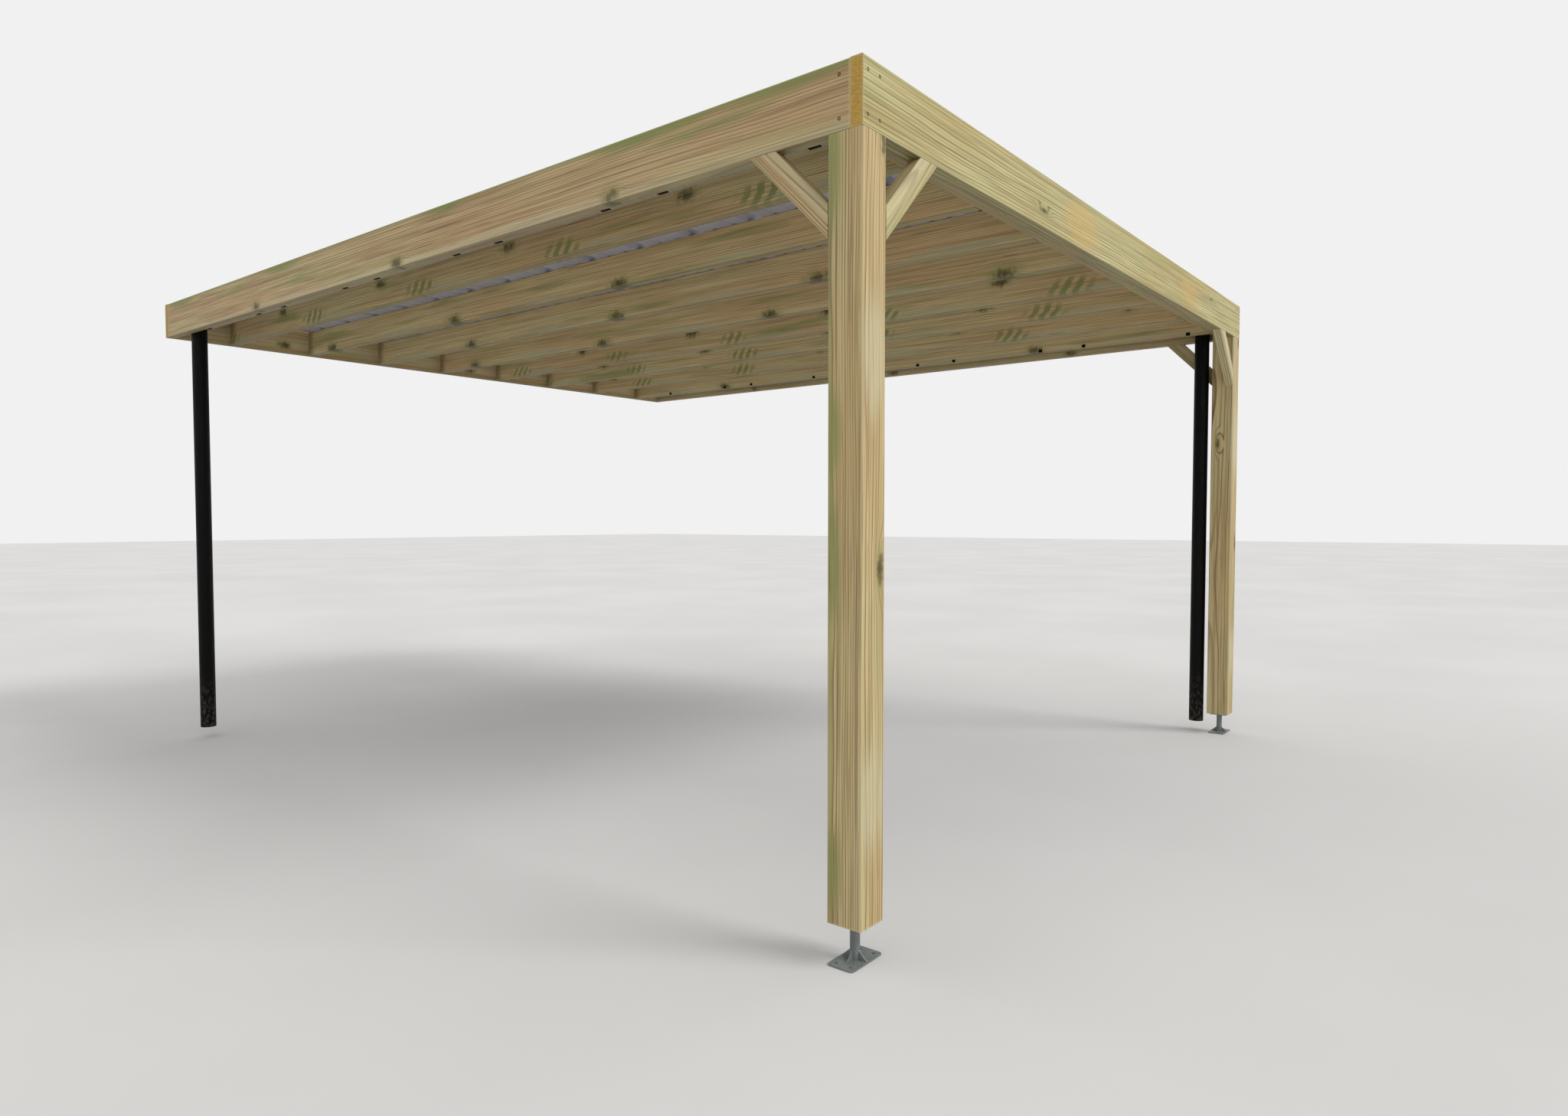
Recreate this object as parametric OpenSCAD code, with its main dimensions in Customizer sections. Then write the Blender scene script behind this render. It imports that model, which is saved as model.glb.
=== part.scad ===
// Flat-roofed timber carport, built onto a wall on one side and standing on two posts.
// The back face of the wall ledger is the plane Y = 0 and the origin is its centre.
// -Y runs out from the wall, +X along it and +Z up. All lengths are in millimetres.

/* [Overall] */
// Length along the wall, over the side boards
roof_length = 4040; // [3000:10:6000]
// Reach out from the wall, over the front board
roof_reach = 5000; // [3000:10:6500]
// Clear height from the ground to the underside of the boards
clear_height = 2375; // [2000:5:3000]

/* [Edge boards] */
// Height of the four edge boards and of the inner front beam
board_height = 195; // [145:5:245]
// Thickness of the edge boards and of the inner front beam
board_thickness = 45; // [36:1:60]
// Radius of the rounded corners along boards, joists and braces
arris = 4; // [1:0.5:8]

/* [Joists] */
// Height of a joist
joist_height = 150; // [120:5:170]
// Thickness of a joist
joist_thickness = 45; // [36:1:60]
// Distance from the outer face of the left side board to the first joist
first_joist_offset = 344; // [230:1:380]
// Distance from the outer face of the right side board to the last joist
last_joist_offset = 277; // [230:1:380]

/* [Posts] */
// Side of the square post
post_side = 120; // [90:5:160]
// Radius of the rounded corners along a post
post_arris = 7; // [1:0.5:12]
// Height of the post's foot above the ground
foot_height = 115; // [60:5:200]
// How far the post's tongue stops below the top of the edge boards
tongue_drop = 20; // [10:1:60]

/* [Knee braces] */
// Leg of the brace's lower edge, measured along post and beam
brace_leg = 290; // [200:5:500]
// Width of the brace, seen on its face
brace_width = 70; // [45:5:95]

/* [Post feet] */
// Length of the foot's bottom plate, along the wall
plate_length = 160; // [120:5:240]
// Width of the foot's bottom plate, out from the wall
plate_width = 90; // [60:5:150]
// Thickness of the foot's bottom plate
plate_thickness = 5; // [3:0.5:10]
// Radius of the bottom plate's corners
plate_corner = 12; // [5:1:20]
// Diameter of the foot's round stem
stem_diameter = 30; // [20:1:50]
// Side of the square plate that the post stands on
cap_side = 90; // [70:5:120]
// Thickness of the plate that the post stands on
cap_thickness = 6; // [4:0.5:12]
// Length of the four fins at the stem's base, from the stem outwards
fin_length = 28; // [15:1:40]
// Height of the fins
fin_height = 40; // [20:1:60]
// Thickness of the fins
fin_thickness = 4; // [3:0.5:8]
// Diameter of the holes for the ground bolts
bolt_hole = 12; // [8:1:18]
// Distance between the bolt holes along the wall
bolt_spacing_along = 120; // [90:5:180]
// Distance between the bolt holes out from the wall
bolt_spacing_out = 50; // [30:5:90]

/* [Roof sheets] */
// Thickness of the ribbed sheet
sheet_thickness = 1.5; // [1:0.1:3]
// Distance from one rib to the next
rib_pitch = 333; // [250:1:400]
// Height of a rib
rib_height = 40; // [20:1:44]
// Width of a rib at its foot
rib_foot = 80; // [50:1:120]
// Width of a rib at its crown
rib_crown = 36; // [20:1:48]
// Number of ribs that one full sheet covers
ribs_per_sheet = 3; // [2:1:4]
// Height of the two low ridges between ribs
ridge_height = 4; // [2:0.5:8]
// Width of a low ridge at its foot
ridge_foot = 26; // [16:1:40]
// Width of a low ridge at its crown
ridge_crown = 10; // [4:1:14]
// Gap between the sheets and the ledger, the front beam and the post tongues
sheet_gap = 3; // [2:0.5:10]
// Overhang of the sheets into each gutter
sheet_overhang = 45; // [20:1:80]

/* [Gutters] */
// Height of the gutter's underside above the underside of the edge boards
gutter_rise = 33; // [10:1:80]
// Gap between the gutter's rim and the underside of the sheets
gutter_rim_gap = 3; // [2:0.5:10]
// Thickness of the gutter's walls
gutter_wall = 2; // [1.2:0.1:3]

/* [Downpipes] */
// Gap between a downpipe and each side of the gutter above it, seen from below
pipe_side_gap = 2; // [1:0.5:30]
// Outer diameter of a downpipe
pipe_diameter = 82; // [60:1:110]
// Thickness of the downpipe's wall
pipe_wall = 3; // [2:0.5:5]
// Height of the downpipe's open end above the ground
pipe_end_height = 60; // [20:5:300]
// Distance from the ledger's front face to the middle of the left downpipe
left_pipe_offset = 212; // [60:1:300]
// Gap between the right post and the right downpipe
right_pipe_gap = 27; // [2:0.5:200]

/* [Hidden] */

// Circles with this many sides are true circles in the finished solid
round_sides = 48;
// Extra length that lets a cut run clear through a wall
through = 1;

half_length = roof_length / 2;
board_top = board_height / 2;
board_bottom = -board_top;
ground = board_bottom - clear_height;
joist_top = board_bottom + joist_height;
inner_front = -roof_reach + 2 * board_thickness;
tongue_side = post_side - board_thickness;
post_bottom = ground + foot_height;
post_inner_x = half_length - post_side;
post_inner_y = -roof_reach + post_side;
side_inner_x = half_length - board_thickness;
side_board_length = roof_reach - 2 * board_thickness;
joist_length = -inner_front - board_thickness;
joist_count = 8;
joist_run = roof_length - first_joist_offset - last_joist_offset - joist_thickness;
joist_pitch = joist_run / (joist_count - 1);
gutter_width = pipe_diameter + 2 * pipe_side_gap;
gutter_bottom = board_bottom + gutter_rise;
gutter_top = joist_top - gutter_rim_gap;
gutter_length = -post_inner_y - board_thickness;
pipe_centre_x = side_inner_x - gutter_width / 2;
left_pipe_y = -board_thickness - left_pipe_offset;
right_pipe_y = post_inner_y + right_pipe_gap + pipe_diameter / 2;
sheet_front = inner_front + sheet_gap;
sheet_back = -board_thickness - sheet_gap;
sheet_half = side_inner_x - gutter_width + sheet_overhang;
sheet_count = 5;
sheet_span = sheet_back - sheet_front;
full_sheet = rib_pitch * ribs_per_sheet;
full_sheets_fit = full_sheet * (sheet_count - 1) < sheet_span - rib_pitch / 2;
sheet_step = full_sheets_fit ? full_sheet : sheet_span / sheet_count;
rib_rise = rib_height - sheet_thickness;
tiny = 0.01;

timber_front = [0.80, 0.70, 0.42];
timber_side = [0.70, 0.58, 0.38];
timber_joist = [0.55, 0.46, 0.29];
steel_grey = [0.45, 0.46, 0.47];
sheet_grey = [0.62, 0.60, 0.66];
pipe_black = [0.05, 0.05, 0.05];

// A timber's cross-section with its four corners rounded
module timber_section(width, height, radius = arris) {
    translate([radius, 0])
        square([width - 2 * radius, height]);
    translate([0, radius])
        square([width, height - 2 * radius]);
    for (x = [radius, width - radius], y = [radius, height - radius])
        translate([x, y])
            circle(r = radius, $fn = round_sides);
}

// A timber that runs along the wall from x, its section given in Y and Z
module timber_along(x, y, z, length, depth, height) {
    translate([x, y, z])
        rotate([90, 0, 90])
            linear_extrude(length)
                timber_section(depth, height);
}

// A timber that runs out from the wall, starting at y and going towards -Y
module timber_out(x, y, z, length, width, height) {
    translate([x, y, z])
        rotate([90, 0, 0])
            linear_extrude(length)
                timber_section(width, height);
}

// The board along the front, over the ends of both side boards
module front_fascia() {
    color(timber_front)
        timber_along(
            -half_length, -roof_reach, board_bottom,
            roof_length, board_thickness, board_height
        );
}

// One of the two boards down the sides, between the front board and the ledger
module side_fascia(x) {
    color(timber_side)
        timber_out(x, -board_thickness, board_bottom, side_board_length, board_thickness, board_height);
}

module left_fascia() {
    side_fascia(-half_length);
}

module right_fascia() {
    side_fascia(side_inner_x);
}

// The board that is bolted to the wall
module wall_ledger() {
    color(timber_side)
        timber_along(
            -half_length, -board_thickness, board_bottom,
            roof_length, board_thickness, board_height
        );
}

// The second board behind the front one, between the two post tongues
module front_inner_beam() {
    color(timber_side)
        timber_along(
            -post_inner_x, inner_front - board_thickness, board_bottom,
            2 * post_inner_x, board_thickness, board_height
        );
}

// One joist, from the ledger to the inner front beam
module joist(index) {
    x = -half_length + first_joist_offset + (index - 1) * joist_pitch;
    color(timber_joist)
        timber_out(x, -board_thickness, board_bottom, joist_length, joist_thickness, joist_height);
}

// A post whose head is notched on its two outer sides to carry the edge boards
module left_post() {
    color(timber_front) {
        translate([-half_length, -roof_reach, post_bottom])
            linear_extrude(clear_height - foot_height)
                timber_section(post_side, post_side, post_arris);
        translate([-side_inner_x, -roof_reach + board_thickness, board_bottom])
            linear_extrude(board_height - tongue_drop)
                timber_section(tongue_side, tongue_side);
    }
}

module right_post() {
    mirror([1, 0, 0])
        left_post();
}

// A brace from the post's face at x = 0 up to the board's underside at z = 0, its outer face on y = 0
module brace() {
    intersection() {
        translate([0, 0, -brace_leg])
            rotate([0, 45, 0])
                translate([-brace_width, 0, -brace_width])
                    linear_extrude(brace_leg * sqrt(2) + 2 * brace_width)
                        timber_section(brace_width, board_thickness);
        translate([0, 0, -brace_leg])
            cube([brace_leg, board_thickness, brace_leg]);
    }
}

// The brace between the left post and the front board
module left_post_front_brace() {
    color(timber_front)
        translate([-post_inner_x, -roof_reach, board_bottom])
            brace();
}

// The brace between the left post and the left board
module left_post_side_brace() {
    color(timber_front)
        translate([-side_inner_x, post_inner_y, board_bottom])
            rotate([0, 0, 90])
                brace();
}

module right_post_front_brace() {
    mirror([1, 0, 0])
        left_post_front_brace();
}

module right_post_side_brace() {
    mirror([1, 0, 0])
        left_post_side_brace();
}

// A flat plate with rounded corners, centred on x and y and lying on z = 0
module rounded_plate(length, width, thickness, corner) {
    translate([-length / 2 + corner, -width / 2, 0])
        cube([length - 2 * corner, width, thickness]);
    translate([-length / 2, -width / 2 + corner, 0])
        cube([length, width - 2 * corner, thickness]);
    for (side_x = [-1, 1], side_y = [-1, 1])
        translate([side_x * (length / 2 - corner), side_y * (width / 2 - corner), 0])
            cylinder(h = thickness, r = corner, $fn = round_sides);
}

// One upright triangular fin, standing on the plate against the stem
module fin() {
    reach = stem_diameter / 2 + fin_length;
    sunk = plate_thickness / 2;
    translate([0, fin_thickness / 2, plate_thickness])
        rotate([90, 0, 0])
            linear_extrude(fin_thickness)
                polygon([[0, -sunk], [reach, -sunk], [reach, 0], [0, fin_height]]);
}

// The steel foot: a bolted plate, a round stem with fins and a square plate under the post
module left_post_foot() {
    color(steel_grey)
        translate([-half_length + post_side / 2, -roof_reach + post_side / 2, ground])
            difference() {
                union() {
                    rounded_plate(plate_length, plate_width, plate_thickness, plate_corner);
                    cylinder(h = foot_height - cap_thickness / 2, d = stem_diameter, $fn = round_sides);
                    for (turn = [0, 90, 180, 270])
                        rotate([0, 0, turn])
                            fin();
                    translate([-cap_side / 2, -cap_side / 2, foot_height - cap_thickness])
                        cube([cap_side, cap_side, cap_thickness]);
                }
                for (side_x = [-1, 1], side_y = [-1, 1])
                    translate([side_x * bolt_spacing_along / 2, side_y * bolt_spacing_out / 2, -through])
                        cylinder(h = plate_thickness + 2 * through, d = bolt_hole, $fn = round_sides);
            }
}

module right_post_foot() {
    mirror([1, 0, 0])
        left_post_foot();
}

// Places and levels of the sheet's underside over one rib pitch, from one crown's middle to the next
function ridge_points(middle) = [
    [middle - ridge_foot / 2, 0], [middle - ridge_crown / 2, ridge_height],
    [middle + ridge_crown / 2, ridge_height], [middle + ridge_foot / 2, 0]
];
rib_points = concat(
    [[0, rib_rise], [rib_crown / 2, rib_rise], [rib_foot / 2, 0]],
    ridge_points(rib_pitch / 3),
    ridge_points(2 * rib_pitch / 3),
    [[rib_pitch - rib_foot / 2, 0], [rib_pitch - rib_crown / 2, rib_rise], [rib_pitch, rib_rise]]
);

// Level of the sheet's underside at one distance from the roof's front
function sheet_level(place) = lookup(place - rib_pitch * floor(place / rib_pitch), rib_points);

// The sheet's underside between two distances from the roof's front
function sheet_line(from, to) = concat(
    [[from, sheet_level(from)]],
    [
        for (k = [floor(from / rib_pitch) : floor(to / rib_pitch)], point = rib_points)
            let (place = k * rib_pitch + point[0])
            if (point[0] > 0 && point[0] < rib_pitch && place > from + tiny && place < to - tiny)
                [place, point[1]]
    ],
    [[to, sheet_level(to)]]
);

// Room for the two post tongues at the corners of the front sheet
module tongue_notches() {
    notch_inner = post_inner_x - sheet_gap;
    notch_length = sheet_half - notch_inner + through;
    for (x = [notch_inner, -notch_inner - notch_length])
        translate([x, sheet_front - through, joist_top - through])
            cube([
                notch_length, post_inner_y + sheet_gap - sheet_front + through,
                rib_height + 2 * through
            ]);
}

// One full-width ribbed sheet, its ribs running along the wall; full sheets meet on a rib's crown
module ribbed_sheet(index) {
    from = (index - 1) * sheet_step;
    to = index == sheet_count ? sheet_span : index * sheet_step;
    line = sheet_line(from, to);
    count = len(line);
    upper = [for (k = [count - 1 : -1 : 0]) [line[k][0], line[k][1] + sheet_thickness]];
    translate([-sheet_half, sheet_front, joist_top])
        rotate([90, 0, 90])
            linear_extrude(2 * sheet_half)
                polygon(concat(line, upper));
}

// One roof sheet; the front one is cut round the post tongues
module roof_sheet(index) {
    color(sheet_grey)
        if (index == 1)
            difference() {
                ribbed_sheet(index);
                tongue_notches();
            }
        else
            ribbed_sheet(index);
}

// The box gutter along a side board, with an outlet hole for the downpipe
module gutter(x, pipe_x, pipe_y) {
    color(steel_grey)
        difference() {
            translate([x, post_inner_y, gutter_bottom])
                cube([gutter_width, gutter_length, gutter_top - gutter_bottom]);
            translate([x + gutter_wall, post_inner_y + gutter_wall, gutter_bottom + gutter_wall])
                cube([gutter_width - 2 * gutter_wall, gutter_length - 2 * gutter_wall, board_height]);
            translate([pipe_x, pipe_y, gutter_bottom - through])
                cylinder(h = gutter_wall + 2 * through, d = pipe_diameter - 2 * pipe_wall, $fn = round_sides);
        }
}

module left_gutter() {
    gutter(-side_inner_x, -pipe_centre_x, left_pipe_y);
}

module right_gutter() {
    gutter(side_inner_x - gutter_width, pipe_centre_x, right_pipe_y);
}

// The pipe from the gutter's outlet down to just above the ground
module downpipe(x, y) {
    length = gutter_bottom - ground - pipe_end_height;
    color(pipe_black)
        translate([x, y, ground + pipe_end_height])
            difference() {
                cylinder(h = length, d = pipe_diameter, $fn = round_sides);
                translate([0, 0, -through])
                    cylinder(h = length + 2 * through, d = pipe_diameter - 2 * pipe_wall, $fn = round_sides);
            }
}

module left_downpipe() {
    downpipe(-pipe_centre_x, left_pipe_y);
}

module right_downpipe() {
    downpipe(pipe_centre_x, right_pipe_y);
}

front_fascia();
left_fascia();
right_fascia();
wall_ledger();
front_inner_beam();
joist(1);  // joist_1
joist(2);  // joist_2
joist(3);  // joist_3
joist(4);  // joist_4
joist(5);  // joist_5
joist(6);  // joist_6
joist(7);  // joist_7
joist(8);  // joist_8
left_post();
right_post();
left_post_front_brace();
left_post_side_brace();
right_post_front_brace();
right_post_side_brace();
left_post_foot();
right_post_foot();
roof_sheet(1);  // roof_sheet_1
roof_sheet(2);  // roof_sheet_2
roof_sheet(3);  // roof_sheet_3
roof_sheet(4);  // roof_sheet_4
roof_sheet(5);  // roof_sheet_5
left_gutter();
right_gutter();
left_downpipe();
right_downpipe();
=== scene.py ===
"""The look of a flat-roofed timber carport that stands on two posts and a wall ledger.

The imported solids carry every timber, sheet, gutter and pipe. This script gives each of them its
finish and adds the small steel parts: screws, gutter clips and weld beads.
Lengths are in metres, +X along the wall, -Y out from it and +Z up.
"""
import math
import bpy
import numpy as np
from mathutils import Matrix, Vector


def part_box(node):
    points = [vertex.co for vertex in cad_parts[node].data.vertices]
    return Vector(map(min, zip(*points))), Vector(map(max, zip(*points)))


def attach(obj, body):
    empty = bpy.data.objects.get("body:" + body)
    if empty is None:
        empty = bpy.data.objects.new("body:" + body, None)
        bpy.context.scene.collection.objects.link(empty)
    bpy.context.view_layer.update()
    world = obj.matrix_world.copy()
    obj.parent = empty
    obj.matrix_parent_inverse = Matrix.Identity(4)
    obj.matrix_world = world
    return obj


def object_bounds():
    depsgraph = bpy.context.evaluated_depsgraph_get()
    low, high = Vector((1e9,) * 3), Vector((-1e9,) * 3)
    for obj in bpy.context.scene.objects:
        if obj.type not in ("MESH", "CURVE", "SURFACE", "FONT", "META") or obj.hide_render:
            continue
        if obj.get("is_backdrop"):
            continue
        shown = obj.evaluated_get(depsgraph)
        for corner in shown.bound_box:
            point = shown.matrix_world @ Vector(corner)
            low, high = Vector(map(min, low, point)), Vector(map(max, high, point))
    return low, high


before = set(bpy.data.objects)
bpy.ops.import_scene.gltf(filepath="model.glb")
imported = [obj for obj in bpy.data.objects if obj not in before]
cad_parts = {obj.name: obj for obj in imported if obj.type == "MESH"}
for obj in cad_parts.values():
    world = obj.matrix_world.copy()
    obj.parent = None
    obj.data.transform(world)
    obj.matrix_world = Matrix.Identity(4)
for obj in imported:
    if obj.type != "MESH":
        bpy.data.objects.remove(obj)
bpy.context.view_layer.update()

# ---------------------------------------------------------------- sizes taken from the frame

MM = 0.001
X, Y, Z = (1, 0, 0), (0, 1, 0), (0, 0, 1)


def corners(node):
    """A node's lowest and highest corners."""
    return tuple(Vector(corner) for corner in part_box(node))


FRONT_LOW, FRONT_HIGH = corners("front_fascia")
SIDE_LOW, SIDE_HIGH = corners("left_fascia")
POST_LOW, POST_HIGH = corners("left_post")
SHEET_LOW, NEXT_SHEET_LOW = corners("roof_sheet_1")[0], corners("roof_sheet_2")[0]
GUTTER_LOW = corners("left_gutter")[0]
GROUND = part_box("left_post_foot")[0][2]
BOARD = SIDE_HIGH.x - SIDE_LOW.x
ROOF_LENGTH = FRONT_HIGH.x - FRONT_LOW.x
SIDE_MIDDLE = (SIDE_LOW.y + SIDE_HIGH.y) / 2
POST_MIDDLE = (POST_LOW.z + POST_HIGH.z) / 2 - GROUND
JOISTS = [f"joist_{i}" for i in range(1, 9)]

# ---------------------------------------------------------------- colours


def tone(red, green, blue):
    """A colour given as it looks on a sample card, 0 to 255, as linear light."""
    card = np.array([red, green, blue]) / 255
    light = np.where(card > 0.04045, ((card + 0.055) / 1.055) ** 2.4, card / 12.92)
    return (*light.tolist(), 1.0)


FRONT_WOOD = dict(pale=tone(193, 184, 132), warm=tone(186, 170, 114), line=tone(104, 84, 44),
                  green=tone(154, 156, 98), knot=tone(96, 82, 46), end=tone(190, 152, 66))
SIDE_WOOD = dict(pale=tone(192, 176, 128), warm=tone(188, 160, 118), line=tone(112, 84, 54),
                 green=tone(128, 134, 76), knot=tone(88, 76, 42), end=tone(184, 148, 68))
POST_WOOD = dict(pale=tone(200, 186, 138), warm=tone(196, 173, 124), line=tone(116, 88, 54),
                 green=tone(140, 142, 86), knot=tone(90, 70, 42), end=tone(184, 150, 70))
JOIST_WOOD = dict(pale=tone(220, 203, 150), warm=tone(214, 185, 136), line=tone(134, 106, 68),
                  green=tone(126, 138, 74), knot=tone(84, 70, 38), end=tone(180, 146, 76))
BRACE_WOOD = dict(pale=tone(204, 193, 150), warm=tone(196, 181, 130), line=tone(112, 90, 54),
                  green=tone(160, 160, 110), knot=tone(96, 78, 44), end=tone(188, 154, 80))
ORANGE_STAIN = tone(196, 162, 92)
SMUDGE = tone(142, 138, 88)
PALE_BAND = tone(196, 192, 160)
PALE_GREEN = tone(176, 182, 150)
# painted shade: the dark smear where each joist's end meets the ledger, for the shade in that joint
LEDGER_JOINT_SHADE = tone(120, 98, 62)
KNOT_HEART = tone(66, 52, 28)
END_STREAK = tone(150, 124, 70)
# laid on as multipliers: the share of each colour that they leave
BETWEEN_FIBRES = (0.55, 0.5, 0.4, 1)
# painted shade: the share of each colour left on a member's lower face, which lies in shade
UNDERSIDE_SHADE = (0.40, 0.42, 0.34, 1)

# ---------------------------------------------------------------- laying out a finish


class Finish:
    """A material whose nodes are laid by short calls, from the part's own place."""

    def __init__(self, name):
        self.material = bpy.data.materials.new(name)
        self.material.use_nodes = True
        self.tree = self.material.node_tree
        self.shader = self.tree.nodes["Principled BSDF"]
        self.place = self.add("ShaderNodeTexCoord").outputs["Object"]

    def add(self, kind, values=(), **settings):
        node = self.tree.nodes.new(kind)
        for key, value in settings.items():
            setattr(node, key, value)
        for slot, value in values:
            self.put(node.inputs[slot], value)
        return node

    def put(self, socket, value):
        if isinstance(value, bpy.types.NodeSocket):
            self.tree.links.new(value, socket)
        else:
            socket.default_value = value

    def calc(self, operation, *values):
        return self.add("ShaderNodeMath", enumerate(values), operation=operation).outputs[0]

    def vector(self, operation, *values):
        node = self.add("ShaderNodeVectorMath", enumerate(values), operation=operation)
        return node.outputs["Value" if operation == "LENGTH" else "Vector"]

    def split(self, vector):
        return self.add("ShaderNodeSeparateXYZ", [(0, vector)]).outputs[:3]

    def height(self):
        return self.split(self.place)[2]

    def noise(self, place, stretch, shift=0.0, detail=2.0, roughness=0.5):
        """Smooth noise with so many blotches to the metre along each axis."""
        moved = self.vector("MULTIPLY_ADD", place, stretch, (shift, 1.7 * shift, 2.9 * shift))
        return self.add("ShaderNodeTexNoise", [
            ("Vector", moved), ("Scale", 1.0), ("Detail", detail), ("Roughness", roughness),
        ]).outputs["Fac"]

    def ease(self, value, start, end, low=0.0, high=1.0):
        """A soft step from low at start to high at end."""
        return self.add("ShaderNodeMapRange", [
            (0, value), (1, start), (2, end), (3, low), (4, high),
        ], interpolation_type="SMOOTHSTEP").outputs[0]

    def mix(self, amount, first, second, how="MIX"):
        return self.add("ShaderNodeMix", [(0, amount), (6, first), (7, second)],
                        data_type="RGBA", blend_type=how).outputs[2]

    def near(self, place, centre, reach):
        """Distance from centre, counted in reaches, so it is 1 on an ellipsoid of that reach."""
        scale = tuple(1 / r for r in reach)
        offset = tuple(-c / r for c, r in zip(centre, reach))
        return self.vector("LENGTH", self.vector("MULTIPLY_ADD", place, scale, offset))

    def nearest(self, distances):
        closest = distances[0]
        for distance in distances[1:]:
            closest = self.calc("MINIMUM", closest, distance)
        return closest

    def raise_surface(self, height, depth, strength=1.0):
        self.put(self.shader.inputs["Normal"], self.add("ShaderNodeBump", [
            ("Height", height), ("Distance", depth), ("Strength", strength),
        ]).outputs["Normal"])


# ---------------------------------------------------------------- timber


class Timber(Finish):
    """Planed, pressure-treated softwood, built up in layers from the bare wood outwards.

    Its patterns are laid in the member's own place: x along the grain, y across the wide side and
    z through it, from the member's centre.
    """

    def __init__(self, node, wood, grain, across, seed, half):
        super().__init__(f"timber_{node}")
        low, high = corners(node)
        along, side = Vector(grain).normalized(), Vector(across).normalized()
        turn = Matrix((along, side, along.cross(side)))
        self.half = half or tuple(abs(c) / 2 for c in turn @ (high - low))
        self.member = self.add("ShaderNodeMapping", [
            ("Vector", self.place), ("Rotation", turn.to_euler("XYZ")),
            ("Location", tuple(-c for c in turn @ ((low + high) / 2))),
        ]).outputs[0]
        self.wood, self.seed = wood, seed
        self.broad = self.noise(self.member, (0.9, 6, 6), seed + 3)
        self.streak = self.noise(self.member, (1.4, 85, 85), seed + 5, 3)
        self.fibre = self.noise(self.member, (9, 520, 520), seed + 7, 2, 0.6)
        self.tint = self.noise(self.member, (1.1, 16, 16), seed + 11, 3)
        self.ragged = self.calc("MULTIPLY_ADD", self.calc("SUBTRACT", self.streak, 0.5), 1.1,
                                self.calc("SUBTRACT", self.tint, 0.5))
        self.colour = self.mix(self.ease(self.broad, 0.36, 0.64), wood["pale"], wood["warm"])

    def cover(self, amount, colour, how="MIX"):
        """Lay a colour over what is there already."""
        self.colour = self.mix(amount, self.colour, colour, how)

    def late_wood(self, ring_gap, pith, knot):
        """The dark side of each growth ring.

        A ring is a whole number of (distance from the pith line) / ring_gap. The distance is swayed
        by slow noise along the grain and swells round each knot, so the lines part round it.
        """
        sway = self.calc("SUBTRACT", self.noise(self.member, (0.8, 5, 5), self.seed), 0.5)
        from_pith = self.vector("LENGTH", self.vector(
            "MULTIPLY_ADD", self.member, (0.0, 1.0, 1.0), (0.0, -pith[0], -pith[1])))
        radius = self.calc("MULTIPLY_ADD", sway, 0.045, from_pith)
        if knot:
            radius = self.calc("MULTIPLY_ADD", self.ease(knot, 0.6, 3.2, 1, 0), 1.8 * ring_gap, radius)
        phase = self.calc("DIVIDE", radius, ring_gap)
        part = self.calc("FRACT", phase)
        year = self.add("ShaderNodeTexWhiteNoise", [("W", self.calc("FLOOR", phase))],
                        noise_dimensions="1D").outputs["Value"]
        late = self.calc("MULTIPLY", self.ease(part, 0.50, 0.88), self.ease(part, 0.90, 1.0, 1, 0))
        return self.calc("MULTIPLY", late, self.ease(year, 0.0, 1.0, 0.35, 1.0))

    def draw_grain(self, late, lines):
        """Dark and pale streaks, the growth rings, and threads finer than the rings."""
        line = self.wood["line"]
        self.cover(self.ease(self.streak, 0.42, 0.72, 0, 0.42), line)
        self.cover(self.ease(self.streak, 0.46, 0.26, 0, 0.35), PALE_BAND)
        self.cover(self.calc("MULTIPLY", late, self.ease(self.broad, 0.3, 0.7, lines, 0.7 * lines)), line)
        thread = self.noise(self.member, (2.2, 250, 250), self.seed + 6, 1)
        self.cover(self.ease(thread, 0.54, 0.72, 0, 0.5 * lines), line)

    def lay_stains_and_shade(self, stains_and_shade):
        """The treatment's green where the sapwood took it up, then each stained patch, and each patch of
        painted shade, in its ragged place.
        """
        self.cover(self.ease(self.tint, 0.55, 0.72, 0, 0.6), self.wood["green"])
        for at, reach, colour, strength in stains_and_shade:
            edge = self.calc("ADD", self.near(self.member, at, reach), self.ragged)
            self.cover(self.ease(edge, 1.15, 0.35, 0, strength), colour)

    def stroke(self, strokes):
        """Marks across the grain: a wave along the member, kept inside each mark's own reach."""
        x, y = self.split(self.member)[:2]
        for at, reach, colour, strength, gap in strokes:
            lean = self.calc("MULTIPLY_ADD", y, 55.0, self.calc("MULTIPLY", self.tint, 7.0))
            wave = self.calc("SINE", self.calc("MULTIPLY_ADD", x, 2 * math.pi / gap, lean))
            edge = self.calc("ADD", self.near(self.member, at, reach), self.ragged)
            inside = self.ease(edge, 1.2, 0.5, 0, strength)
            self.cover(self.calc("MULTIPLY", inside, self.ease(wave, -0.65, 0.45)), colour)

    def darken_knots(self, knot):
        """A ragged dark heart with an olive halo drawn out along the grain; gives its ragged distance."""
        torn = self.noise(self.member, (44, 30, 30), self.seed + 15, 2)
        worn = self.calc("MULTIPLY_ADD", self.calc("SUBTRACT", torn, 0.5), 1.7, knot)
        worn = self.calc("MULTIPLY_ADD", self.calc("SUBTRACT", self.streak, 0.5), 0.9, worn)
        self.cover(self.ease(worn, 2.1, 0.8, 0, 0.42), self.wood["green"])
        self.cover(self.ease(worn, 1.25, 0.45, 0, 0.75), self.wood["knot"])
        self.cover(self.ease(worn, 0.55, 0.15, 0, 0.5), KNOT_HEART)
        return worn

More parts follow.
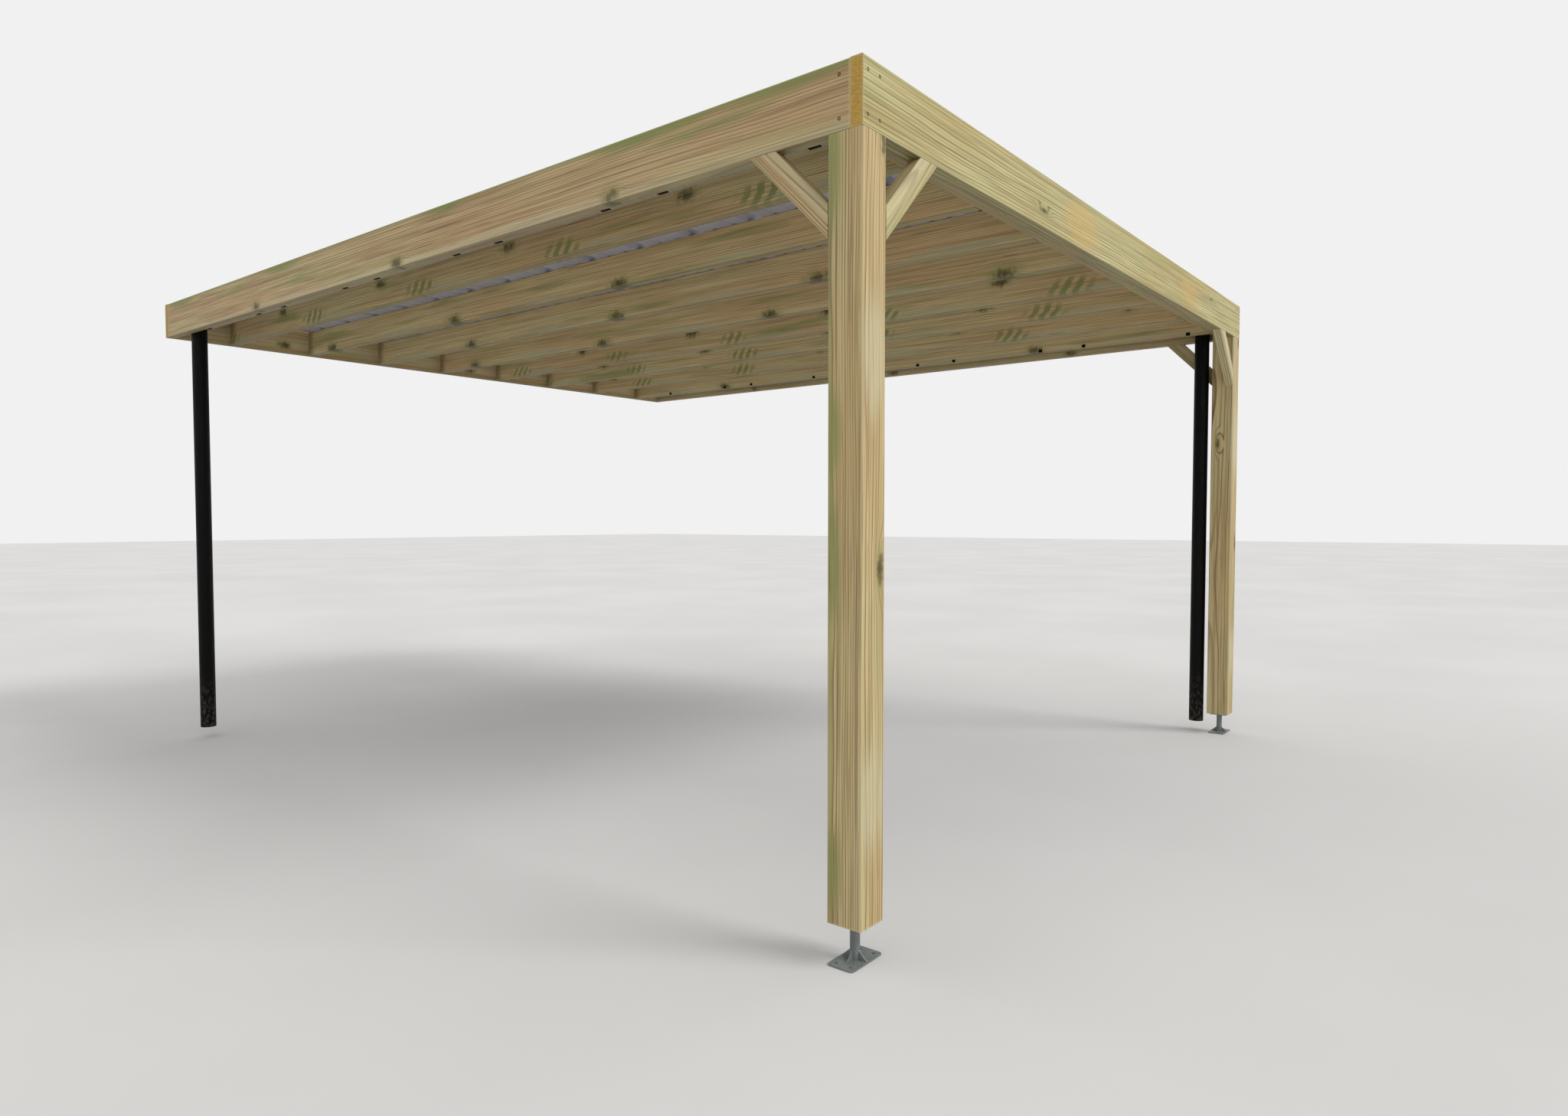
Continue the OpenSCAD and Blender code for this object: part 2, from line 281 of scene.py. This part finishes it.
    def show_sawn_ends(self, late, to_end):
        end = self.mix(self.calc("MULTIPLY", late, 0.3), self.wood["end"], self.wood["line"])
        end = self.mix(self.ease(self.streak, 0.4, 0.65, 0, 0.5), end, END_STREAK)
        self.cover(self.ease(to_end, 0.7 * MM, 0.3 * MM), end)

    def open_cracks(self):
        """Fine drying cracks along the grain; gives where they are."""
        crack = self.ease(self.noise(self.member, (2.6, 170, 170), self.seed + 13, 1), 0.735, 0.765)
        crack = self.calc("MULTIPLY", crack, self.ease(self.broad, 0.44, 0.54))
        self.cover(self.calc("MULTIPLY", crack, 0.65), self.wood["knot"])
        return crack

    def rub_arrises(self, to_end, to_edge, to_face):
        """Paler wood near an arris, which is where two of the three distances are small."""
        arris = self.calc("MAXIMUM", self.calc("MINIMUM", to_edge, to_face),
                          self.calc("MINIMUM", self.calc("MAXIMUM", to_edge, to_face), to_end))
        rubbed = self.calc("MULTIPLY", self.ease(arris, 7.5 * MM, 2 * MM),
                           self.ease(self.streak, 0.36, 0.6, 0.35, 0.9))
        self.cover(self.calc("MULTIPLY", rubbed, 0.4), PALE_BAND)

    def paint_underside_shade(self, shaded):
        # painted shade: darker on the lower face, fading out over the lowest 4 mm of the sides, by the share
        # in shaded
        above = self.calc("ADD", self.split(self.member)[1], self.half[1])
        self.cover(self.ease(above, 4 * MM, 0.8 * MM, 0, shaded), UNDERSIDE_SHADE, "MULTIPLY")

    def close(self, late, crack, worn):
        """Set the shader: dull between the fibres, smoother on the late wood, with a fine relief."""
        self.put(self.shader.inputs["Base Color"], self.colour)
        dullness = self.calc("ADD", self.fibre, self.calc("MULTIPLY", late, -0.35))
        self.put(self.shader.inputs["Roughness"], self.ease(dullness, 0.1, 0.9, 0.5, 0.82))
        relief = self.calc("MULTIPLY_ADD", self.fibre, 0.45, self.calc("MULTIPLY", late, 0.5))
        relief = self.calc("MULTIPLY_ADD", crack, -1.6, relief)
        if worn:
            relief = self.calc("MULTIPLY_ADD", self.ease(worn, 1.1, 0.5), 0.5, relief)
        self.raise_surface(relief, 0.9 * MM, 0.55)
        self.shader.inputs["Specular IOR Level"].default_value = 0.32
        return self.material


def timber(node, wood, grain, across, ring_gap, pith, seed,
           knots=(), stains_and_shade=(), strokes=(), half=None, lines=0.95, shaded=0.0):
    """The finish of one timber member.

    grain and across are the directions of its length and of its wide side, and pith is where the
    tree's middle lies, across and through. knots and stains_and_shade, with their reaches, are
    given from the member's centre, along the grain, across and through; stains_and_shade holds
    stained patches and patches of painted shade. strokes are smears broken into short marks
    across the grain, with the distance between marks. lines is how dark the grain is, and shaded
    how much painted shade darkens the lower face, on which little light falls.
    """
    t = Timber(node, wood, grain, across, seed, half)
    knot = t.nearest([t.near(t.member, at, reach) for at, reach in knots]) if knots else None
    late = t.late_wood(ring_gap, pith, knot)
    t.draw_grain(late, lines)
    t.lay_stains_and_shade(stains_and_shade)
    t.stroke(strokes)
    worn = t.darken_knots(knot) if knot else None
    to_end, to_edge, to_face = t.split(t.vector("SUBTRACT", t.half, t.vector("ABSOLUTE", t.member)))
    t.show_sawn_ends(late, to_end)
    crack = t.open_cracks()
    t.rub_arrises(to_end, to_edge, to_face)
    t.cover(t.ease(t.fibre, 0.3, 0.7, 0.0, 0.22), BETWEEN_FIBRES, "MULTIPLY")
    # painted shade on the lower face
    if shaded:
        t.paint_underside_shade(shaded)
    return t.close(late, crack, worn)


# ---------------------------------------------------------------- metal and plastic


def roof_sheet_finish():
    """Blue-grey coated steel: dust lies in the troughs and thin dry runs follow the ribs."""
    f = Finish("roof_sheet_coat")
    cloud = f.noise(f.place, (1.6, 3.5, 3.5), 2, 3)
    runs = f.noise(f.place, (0.9, 120, 20), 4, 3, 0.6)
    spangle = f.add("ShaderNodeTexVoronoi", [("Vector", f.place), ("Scale", 130.0)]).outputs["Distance"]
    rise = f.calc("SUBTRACT", f.height(), SHEET_LOW.z)
    colour = f.mix(f.ease(cloud, 0.34, 0.66), tone(190, 192, 208), tone(172, 174, 190))
    colour = f.mix(f.ease(rise, 12 * MM, 0.0, 0, 0.35), colour, tone(150, 148, 156))
    colour = f.mix(f.ease(runs, 0.52, 0.74, 0, 0.4), colour, tone(132, 130, 136))
    colour = f.mix(f.ease(rise, 30 * MM, 40 * MM, 0, 0.3), colour, tone(206, 202, 212))
    colour = f.mix(f.ease(spangle, 0.1, 0.7, 0, 0.12), colour, tone(214, 212, 220))
    f.put(f.shader.inputs["Base Color"], colour)
    dullness = f.calc("ADD", runs, f.calc("MULTIPLY", spangle, 0.3))
    f.put(f.shader.inputs["Roughness"], f.ease(dullness, 0.3, 0.9, 0.34, 0.6))
    f.shader.inputs["Metallic"].default_value = 0.25
    f.raise_surface(f.calc("MULTIPLY_ADD", spangle, 0.3, runs), 0.4 * MM, 0.35)
    return f.material


def gutter_finish():
    """Olive-brown coated steel: rain marks run down the sides, dust collects at the bottom fold."""
    f = Finish("gutter_coat")
    cloud = f.noise(f.place, (4, 1.4, 4), 6, 3)
    marks = f.noise(f.place, (30, 75, 3), 8, 3, 0.6)
    grit = f.noise(f.place, (600, 600, 600), 9, 2)
    rise = f.calc("SUBTRACT", f.height(), GUTTER_LOW.z)
    colour = f.mix(f.ease(cloud, 0.35, 0.65), tone(146, 134, 96), tone(128, 116, 80))
    colour = f.mix(f.ease(marks, 0.5, 0.72, 0, 0.5), colour, tone(98, 88, 60))
    colour = f.mix(f.ease(rise, 16 * MM, 0.0, 0, 0.35), colour, tone(104, 94, 66))
    colour = f.mix(f.ease(grit, 0.55, 0.75, 0, 0.25), colour, tone(176, 166, 130))
    f.put(f.shader.inputs["Base Color"], colour)
    f.put(f.shader.inputs["Roughness"], f.ease(marks, 0.3, 0.7, 0.38, 0.62))
    f.shader.inputs["Metallic"].default_value = 0.1
    f.raise_surface(f.calc("MULTIPLY_ADD", grit, 0.4, marks), 0.3 * MM, 0.4)
    return f.material


def pipe_finish():
    """Black drawn plastic: fine lines along the pipe, short scuffs, and splashed dust near the ground."""
    f = Finish("pipe_plastic_black")
    drawn = f.noise(f.place, (420, 420, 1.5), 12, 2, 0.6)
    scuff = f.noise(f.place, (70, 70, 16), 14, 3, 0.65)
    splash = f.noise(f.place, (55, 55, 40), 16, 4, 0.65)
    height = f.calc("SUBTRACT", f.height(), GROUND)
    colour = f.mix(f.ease(drawn, 0.35, 0.7), tone(1, 1, 1), tone(4, 4, 4))
    colour = f.mix(f.ease(scuff, 0.68, 0.76, 0, 0.35), colour, tone(22, 22, 22))
    dust = f.calc("MULTIPLY", f.ease(height, 0.42, 0.06, 0, 0.55), f.ease(splash, 0.46, 0.66))
    colour = f.mix(dust, colour, tone(96, 90, 78))
    f.put(f.shader.inputs["Base Color"], colour)
    dullness = f.ease(scuff, 0.35, 0.72, 0.42, 0.62)
    f.put(f.shader.inputs["Roughness"], f.calc("MULTIPLY_ADD", dust, 0.3, dullness))
    f.shader.inputs["Specular IOR Level"].default_value = 0.12
    f.raise_surface(f.calc("MULTIPLY_ADD", scuff, 0.5, drawn), 0.3 * MM, 0.3)
    return f.material


def steel_finish(name, base, cloudy, worn, rough=(0.42, 0.66), metal=0.35, shine=0.5):
    """Coated steel in the colours given: clouding, fine speckle, rubbed spots and dust low down."""
    f = Finish(name)
    cloud = f.noise(f.place, (26, 26, 26), 18, 3)
    speck = f.noise(f.place, (900, 900, 900), 20, 2)
    rub = f.noise(f.place, (110, 110, 110), 22, 4, 0.65)
    colour = f.mix(f.ease(cloud, 0.35, 0.65), base, cloudy)
    colour = f.mix(f.ease(speck, 0.5, 0.75, 0, 0.35), colour, worn)
    colour = f.mix(f.ease(rub, 0.62, 0.7, 0, 0.6), colour, worn)
    height = f.calc("SUBTRACT", f.height(), GROUND)
    dust = f.calc("MULTIPLY", f.ease(height, 30 * MM, 0.0, 0, 0.2), f.ease(rub, 0.4, 0.6))
    colour = f.mix(dust, colour, tone(140, 132, 116))
    f.put(f.shader.inputs["Base Color"], colour)
    f.put(f.shader.inputs["Roughness"], f.ease(rub, 0.3, 0.7, *rough))
    f.shader.inputs["Metallic"].default_value = metal
    f.shader.inputs["Specular IOR Level"].default_value = shine
    f.raise_surface(f.calc("MULTIPLY_ADD", speck, 0.5, rub), 0.4 * MM, 0.4)
    return f.material


# ---------------------------------------------------------------- new pieces


def piece(name, points, faces, finish):
    """A new steel part, fixed to the carport."""
    mesh = bpy.data.meshes.new(name)
    mesh.from_pydata(points.tolist(), [], faces)
    mesh.validate()
    obj = bpy.data.objects.new(name, mesh)
    bpy.context.collection.objects.link(obj)
    mesh.materials.append(finish)
    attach(obj, "root")
    return obj


def turned(name, centres, axis, profile, sides, finish, smooth=False):
    """The same turned shape at each centre.

    A point is centre + radius * (cos turn * u + sin turn * v) + height * axis, where (radius, height)
    runs along the profile from the bottom pole to the top pole and turn goes once round the axis.
    """
    axis = np.array(axis, float)
    u = np.cross(axis, [0.0, 0.0, 1.0] if abs(axis[2]) < 0.9 else [1.0, 0.0, 0.0])
    u /= np.linalg.norm(u)
    v = np.cross(axis, u)
    profile, centres = np.array(profile, float), np.array(centres, float)
    angles = np.arange(sides) * 2 * math.pi / sides
    round_it = np.cos(angles)[:, None] * u + np.sin(angles)[:, None] * v
    ring = profile[1:-1, 0][:, None, None] * round_it + profile[1:-1, 1][:, None, None] * axis
    poles = profile[[0, -1], 1][:, None] * axis
    one = np.concatenate([ring.reshape(-1, 3), poles])
    rows, i = len(profile) - 2, np.arange(sides)
    j = (i + 1) % sides
    walls = [np.stack([r * sides + i, r * sides + j, (r + 1) * sides + j, (r + 1) * sides + i], 1)
             for r in range(rows - 1)]
    bottom = np.stack([np.full(sides, rows * sides), j, i], 1)
    last = (rows - 1) * sides
    top = np.stack([np.full(sides, rows * sides + 1), last + i, last + j], 1)
    shifts = np.arange(len(centres)) * len(one)
    faces = [face for block in (*walls, bottom, top)
             for face in (shifts[:, None, None] + block).reshape(-1, block.shape[1]).tolist()]
    points = (centres[:, None, :] + one).reshape(-1, 3)
    obj = piece(name, points, faces, finish)
    if smooth:
        obj.data.polygons.foreach_set("use_smooth", np.ones(len(obj.data.polygons), bool))
    return obj


def folded_clips(name, outline, width, places, finish):
    """Flat steel clips: a closed outline in X and Z, carried straight along Y by the clip's width."""
    outline = np.array(outline, float)
    count = len(outline)
    across = np.linspace(-width / 2, width / 2, 2)
    one = np.stack([
        np.tile(outline[:, 0], 2), np.repeat(across, count), np.tile(outline[:, 1], 2)], 1)
    i = np.arange(count)
    j = (i + 1) % count
    sides = np.stack([i, j, j + count, i + count], 1)
    points = (one[None] + np.array([[0.0, y, 0.0] for y in places])[:, None]).reshape(-1, 3)
    faces = []
    for k in range(len(places)):
        start = k * len(one)
        faces += (sides + start).tolist()
        faces += [(i[::-1] + start).tolist(), (i + count + start).tolist()]
    return piece(name, points, faces, finish)


# ---------------------------------------------------------------- dressing the timbers


def dress(node, finish):
    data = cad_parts[node].data
    data.materials.clear()
    data.materials.append(finish)


def from_left(x):
    """A place counted from the carport's left outer face, as one from its centre."""
    return x - ROOF_LENGTH / 2


dress("front_fascia", timber(
    "front_fascia", FRONT_WOOD, X, Z, 0.0104, (-0.165, -0.04), 1, shaded=0.56,
    knots=[((from_left(1.20), -0.035, 0.02), (0.036, 0.010, 0.05)),
           ((from_left(3.42), 0.03, 0.02), (0.032, 0.009, 0.05))],
    stains_and_shade=[((from_left(1.58), 0.0, 0.02), (0.20, 0.11, 0.3), ORANGE_STAIN, 0.5),
            ((from_left(3.02), -0.02, 0.02), (0.17, 0.09, 0.3), ORANGE_STAIN, 0.5),
            ((from_left(1.18), -0.03, 0.02), (0.14, 0.03, 0.3), SMUDGE, 0.45),
            ((from_left(3.40), 0.02, 0.02), (0.16, 0.03, 0.3), SMUDGE, 0.4)]))

# places along Y, each green patch with its reach
GREEN_EDGE = SIDE_WOOD["green"]
SIDE_KNOTS = (-3.96, -2.59, -1.22)
GREEN_PATCHES = ((-4.75, 0.34), (-4.15, 0.34), (-2.97, 0.18), (-1.5, 0.24), (-0.25, 0.2))
for node, face in (("left_fascia", -1), ("right_fascia", 1)):
    dress(node, timber(
        node, SIDE_WOOD, Y, Z, 0.0100, (0.17, -0.04 * face), 4 + face, shaded=0.6,
        knots=[((y - SIDE_MIDDLE, -0.078, 0.0), (0.040, 0.024, 0.06)) for y in SIDE_KNOTS],
        stains_and_shade=[((y - SIDE_MIDDLE, 0.086, 0.0), (reach, 0.034, 0.2), GREEN_EDGE, 0.85)
                for y, reach in GREEN_PATCHES]
        + [((0.0, 0.096, 0.0), (3.6, 0.014, 0.2), GREEN_EDGE, 0.6),
           ((0.0, -0.084, 0.0), (3.4, 0.016, 0.2), PALE_BAND, 0.4)]))

dress("wall_ledger", timber(
    "wall_ledger", JOIST_WOOD, X, Z, 0.0090, (0.15, 0.05), 9, shaded=0.95,
    knots=[((x, -0.05, 0.0), (0.036, 0.02, 0.06)) for x in (-1.35, 0.02, 1.39)],
    stains_and_shade=[((0.0, -0.035, 0.0), (3.0, 0.02, 0.2), PALE_BAND, 0.55),
            ((0.0, -0.085, 0.0), (3.0, 0.022, 0.2), JOIST_WOOD["line"], 0.5)]))

dress("front_inner_beam", timber(
    "front_inner_beam", JOIST_WOOD, X, Z, 0.0092, (-0.15, 0.06), 12, shaded=0.84,
    knots=[((x, -0.06, 0.0), (0.036, 0.02, 0.06)) for x in (-1.1, 0.27, 1.64)]))

# the joists come from two kinds of board, told by how far out from the wall the first knot lies
EDGE_KNOTTED = {"joist_2": 0.37, "joist_3": 1.16, "joist_4": 0.49, "joist_8": 1.13}
STROKED = {"joist_1": 0.76, "joist_5": 0.0, "joist_6": 0.74, "joist_7": 0.31}
EDGE_KNOT_PITCH, STROKE_PITCH, STROKE_PAST_KNOT = 1.355, 1.075, 0.36


def joist_timber(node, index):
    """Edge-knotted boards have their knots on the lower arris; stroked ones have them up the face."""
    low, high = corners(node)
    middle, half = (low.y + high.y) / 2, (high.y - low.y) / 2
    stroked = node in STROKED
    first, pitch = (STROKED[node], STROKE_PITCH) if stroked else (EDGE_KNOTTED[node], EDGE_KNOT_PITCH)
    outs = np.arange(first - pitch, pitch - low.y, pitch).tolist()
    height, reach = (0.032, (0.046, 0.022, 0.06)) if stroked else (-0.064, (0.056, 0.029, 0.06))
    green = JOIST_WOOD["green"]
    strokes = [((-out - STROKE_PAST_KNOT - middle, -0.036, 0.0), (0.13, 0.042, 0.2), green, 0.8, 0.064)
               for out in outs] if stroked else []
    bands = [((-out - 0.55 * pitch - middle, -0.056, 0.0), (0.34, 0.015, 0.2), PALE_GREEN, 0.6)
             for out in outs]
    # painted shade in the joint where each joist's end meets the ledger, laid like a stain
    ends = [((half, 0.0, 0.0), (0.075, 0.3, 0.3), LEDGER_JOINT_SHADE, 0.6)]
    return timber(
        node, JOIST_WOOD, Y, Z, 0.0086 + 0.0004 * (index % 3),
        (0.13 if index % 2 else -0.12, 0.04 - 0.02 * (index % 3)), 20 + 1.3 * index,
        knots=[((-out - middle, height, 0.0), reach) for out in outs],
        stains_and_shade=bands + ends, strokes=strokes, lines=0.8, shaded=0.95)


for index, node in enumerate(JOISTS):
    dress(node, joist_timber(node, index))

# heights above the ground, each green patch with its reach
POST_GREEN = ((2.30, 0.26), (1.53, 0.16), (1.18, 0.24), (0.28, 0.16))
POST_PALE = (1.75, 0.5)
for node, side in (("left_post", -1), ("right_post", 1)):
    dress(node, timber(
        node, POST_WOOD, Z, X, 0.0088, (0.085 * side, 0.05), 41 + side,
        knots=[((1.15 - POST_MIDDLE, 0.035, -0.06), (0.05, 0.017, 0.035)),
               ((2.36 - POST_MIDDLE, 0.045, -0.06), (0.042, 0.013, 0.03)),
               ((0.66 - POST_MIDDLE, 0.06, 0.01), (0.04, 0.03, 0.014)),
               ((1.75 - POST_MIDDLE, -0.06 * side, 0.02), (0.036, 0.03, 0.012))],
        stains_and_shade=[((height - POST_MIDDLE, 0.06 * side, 0.046), (reach, 0.055, 0.044), POST_WOOD["green"], 0.85)
                for height, reach in POST_GREEN]
        + [((0.0, 0.06 * side, 0.054), (1.6, 0.03, 0.018), POST_WOOD["green"], 0.55)]
        + [((height - POST_MIDDLE, 0.0, -0.06), (0.2, 0.07, 0.03), PALE_BAND, 0.5) for height in POST_PALE]))

# half of a brace's length, width and thickness
BRACE_HALF = (0.205, 0.035, BOARD / 2)
for side, lean in (("left", 1), ("right", -1)):
    dress(f"{side}_post_front_brace", timber(
        f"{side}_post_front_brace", BRACE_WOOD, (lean, 0, 1), (-lean, 0, 1), 0.0075, (0.06, -0.05),
        60 + lean, half=BRACE_HALF, lines=1.0))
    dress(f"{side}_post_side_brace", timber(
        f"{side}_post_side_brace", SIDE_WOOD, (0, 1, 1), (0, -1, 1), 0.0075, (0.06, -0.05),
        66 + lean, half=BRACE_HALF, lines=1.0))

# ---------------------------------------------------------------- dressing metal and plastic

SHEET_COAT, GUTTER_COAT, PIPE_COAT = roof_sheet_finish(), gutter_finish(), pipe_finish()
FOOT_COAT = steel_finish(
    "foot_steel_coat", tone(120, 128, 126), tone(106, 113, 112), tone(160, 166, 164))
SCREW_COAT = steel_finish(
    "screw_steel", tone(58, 48, 34), tone(44, 36, 26), tone(104, 92, 70), rough=(0.4, 0.58), metal=0.5)
CLIP_COAT = steel_finish(
    "clip_steel_black", tone(3, 3, 3), tone(6, 6, 6), tone(18, 18, 18), rough=(0.6, 0.8), metal=0.0,
    shine=0.06)
ZINC_COAT = steel_finish(
    "bolt_steel_zinc", tone(132, 134, 134), tone(112, 114, 116), tone(186, 188, 188), rough=(0.3, 0.5),
    metal=0.85)

for index in range(1, 6):
    dress(f"roof_sheet_{index}", SHEET_COAT)
for side in ("left", "right"):
    dress(f"{side}_gutter", GUTTER_COAT)
    dress(f"{side}_downpipe", PIPE_COAT)
    dress(f"{side}_post_foot", FOOT_COAT)

# ---------------------------------------------------------------- screws in the boards

# a sunk screw head, as radius and height: a flat rim with a dished drive hole in the middle
SCREW_HEAD = [(0, -3 * MM), (2.2 * MM, -3 * MM), (5.2 * MM, -0.6 * MM), (5.4 * MM, 0.2 * MM),
              (4.6 * MM, 0.35 * MM), (2.6 * MM, 0.3 * MM), (2.2 * MM, -0.9 * MM), (0, -1.6 * MM)]
FROM_BOARD_EDGE = 36.5 * MM
FROM_BOARD_END = (24 * MM, 84 * MM)
FROM_FRONT = 81 * MM
rows = (FRONT_LOW.z + FROM_BOARD_EDGE, FRONT_HIGH.z - FROM_BOARD_EDGE)

turned("front_board_screws", [(side * (FRONT_HIGH.x - inset), FRONT_LOW.y, z)
                              for side in (-1, 1) for inset in FROM_BOARD_END for z in rows],
       (0, -1, 0), SCREW_HEAD, 20, SCREW_COAT)
for name, side in (("left", -1), ("right", 1)):
    turned(f"{name}_board_screws", [(side * FRONT_HIGH.x, FRONT_LOW.y + FROM_FRONT, z) for z in rows],
           (side, 0, 0), SCREW_HEAD, 20, SCREW_COAT)

# ---------------------------------------------------------------- roof screws

# they stand in the troughs, beside each rib and over each joist
RIBS_PER_SHEET, BESIDE_RIB, SHEET_SKIN = 3, 69 * MM, 1.5 * MM
RIB_PITCH = (NEXT_SHEET_LOW.y - SHEET_LOW.y) / RIBS_PER_SHEET
WASHER = [(0, 0), (8 * MM, 0), (8 * MM, 1.2 * MM), (5 * MM, 2.2 * MM), (0, 2.2 * MM)]
HEX_HEAD = [(0, 2.2 * MM), (4.4 * MM, 2.2 * MM), (4.4 * MM, 6.4 * MM), (3.6 * MM, 7.2 * MM), (0, 7.2 * MM)]

rib_count = int((corners("roof_sheet_5")[1].y - SHEET_LOW.y) / RIB_PITCH)
joist_lines = [(low.x + high.x) / 2 for low, high in map(corners, JOISTS)]
roof_places = [(x, SHEET_LOW.y + k * RIB_PITCH + BESIDE_RIB, SHEET_LOW.z + SHEET_SKIN)
               for x in joist_lines for k in range(rib_count + 1)]
turned("roof_screw_washers", roof_places, Z, WASHER, 12, CLIP_COAT)
turned("roof_screw_heads", roof_places, Z, HEX_HEAD, 6, ZINC_COAT)

# ---------------------------------------------------------------- gutter clips

# bent steel on the inner face of the left board and of the last joist, in evenly spaced pairs: on the
# board the lip points inwards, on the joist it turns under the timber
CLIP_PAIRS, CLIP_FIRST, CLIP_STEP, CLIP_PAIR_GAP = 5, 0.204, 0.9165, 0.63
CLIP_PLACES = [FRONT_LOW.y + CLIP_FIRST + CLIP_STEP * pair + along
               for pair in range(CLIP_PAIRS) for along in (0, CLIP_PAIR_GAP)]
CLIP_STEEL, CLIP_DROP = 3 * MM, 0.5 * MM
BOARD_RISE, BOARD_LIP, BOARD_CLIP_WIDTH = 30 * MM, 12 * MM, 43 * MM
JOIST_RISE, JOIST_LIP, JOIST_CLIP_WIDTH = 16 * MM, 9 * MM, 22 * MM
board_face, joist_face = SIDE_HIGH.x, corners("joist_8")[0].x
lower_edge = FRONT_LOW.z
foot = lower_edge - CLIP_DROP

folded_clips("left_gutter_clips", [
    (board_face, lower_edge + BOARD_RISE), (board_face, foot), (board_face + BOARD_LIP, foot),
    (board_face + BOARD_LIP, foot + CLIP_STEEL), (board_face + CLIP_STEEL, foot + CLIP_STEEL),
    (board_face + CLIP_STEEL, lower_edge + BOARD_RISE)], BOARD_CLIP_WIDTH, CLIP_PLACES, CLIP_COAT)
folded_clips("right_gutter_clips", [
    (joist_face, lower_edge + JOIST_RISE), (joist_face - CLIP_STEEL, lower_edge + JOIST_RISE),
    (joist_face - CLIP_STEEL, foot), (joist_face + JOIST_LIP, foot),
    (joist_face + JOIST_LIP, lower_edge), (joist_face, lower_edge)],
    JOIST_CLIP_WIDTH, CLIP_PLACES, CLIP_COAT)

# ---------------------------------------------------------------- weld beads

# a bead round each foot's stem, under the plate that carries the post
CAP_PLATE = 6 * MM
WELD_BEAD = [(0, -5 * MM), (14 * MM, -5 * MM), (16 * MM, -4.4 * MM), (18.4 * MM, -2.2 * MM),
             (19.4 * MM, -0.1 * MM), (0, -0.1 * MM)]
for name in ("left", "right"):
    low, high = corners(f"{name}_post_foot")
    stem_top = ((low.x + high.x) / 2, (low.y + high.y) / 2, high.z - CAP_PLATE)
    turned(f"{name}_foot_weld", [stem_top], Z, WELD_BEAD, 32, FOOT_COAT, smooth=True)

# ---------------------------------------------------------------- floor, light and camera


def floor_finish():
    """A plain pale floor with a faint cloud in it."""
    f = Finish("studio_floor")
    cloud = f.noise(f.place, (0.5, 0.5, 0.5), 30, 3)
    colour = f.mix(f.ease(cloud, 0.3, 0.7), tone(204, 203, 201), tone(198, 197, 195))
    f.put(f.shader.inputs["Base Color"], colour)
    f.shader.inputs["Roughness"].default_value = 0.9
    return f.material


FLOOR_REACH = 60.0
floor_mesh = bpy.data.meshes.new("floor")
floor_mesh.from_pydata([(a * FLOOR_REACH, b * FLOOR_REACH, GROUND)
                        for a, b in ((-1, -1), (1, -1), (1, 1), (-1, 1))], [], [(0, 1, 2, 3)])
floor = bpy.data.objects.new("floor", floor_mesh)
bpy.context.collection.objects.link(floor)
floor_mesh.materials.append(floor_finish())
floor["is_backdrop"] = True

scene = bpy.context.scene
world = bpy.data.worlds.new("soft_room")
scene.world = world
world.use_nodes = True
background = world.node_tree.nodes["Background"]
background.inputs["Color"].default_value = (1.0, 1.0, 1.0, 1.0)
background.inputs["Strength"].default_value = 0.88

LAMP_POWER, LAMP_WIDTH = 1.6, math.radians(25)
LAMP_LEAN, LAMP_TURN = math.radians(50), math.radians(20)
lamp = bpy.data.lights.new("soft_sun", "SUN")
lamp.energy, lamp.angle = LAMP_POWER, LAMP_WIDTH
lamp_object = bpy.data.objects.new("soft_sun", lamp)
lamp_object.rotation_euler = (LAMP_LEAN, 0, LAMP_TURN)
bpy.context.collection.objects.link(lamp_object)

# the camera stands out past the left front corner, at chest height, and looks across under the roof
CAMERA_PLACE = (-4.2677, -6.5156, -1.1850)
SENSOR_WIDTH, LENS = 36.0, 22.2
HEADING, TILT = math.radians(51.41), math.radians(-2.236)
camera = bpy.data.cameras.new("camera")
camera.sensor_width, camera.lens = SENSOR_WIDTH, LENS
camera_object = bpy.data.objects.new("camera", camera)
bpy.context.collection.objects.link(camera_object)
camera_object.location = CAMERA_PLACE
look = Vector((math.sin(HEADING) * math.cos(TILT), math.cos(HEADING) * math.cos(TILT), math.sin(TILT)))
camera_object.rotation_mode = "QUATERNION"
camera_object.rotation_quaternion = look.to_track_quat("-Z", "Y")
scene.camera = camera_object
scene.view_settings.view_transform = "Standard"

low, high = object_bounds()
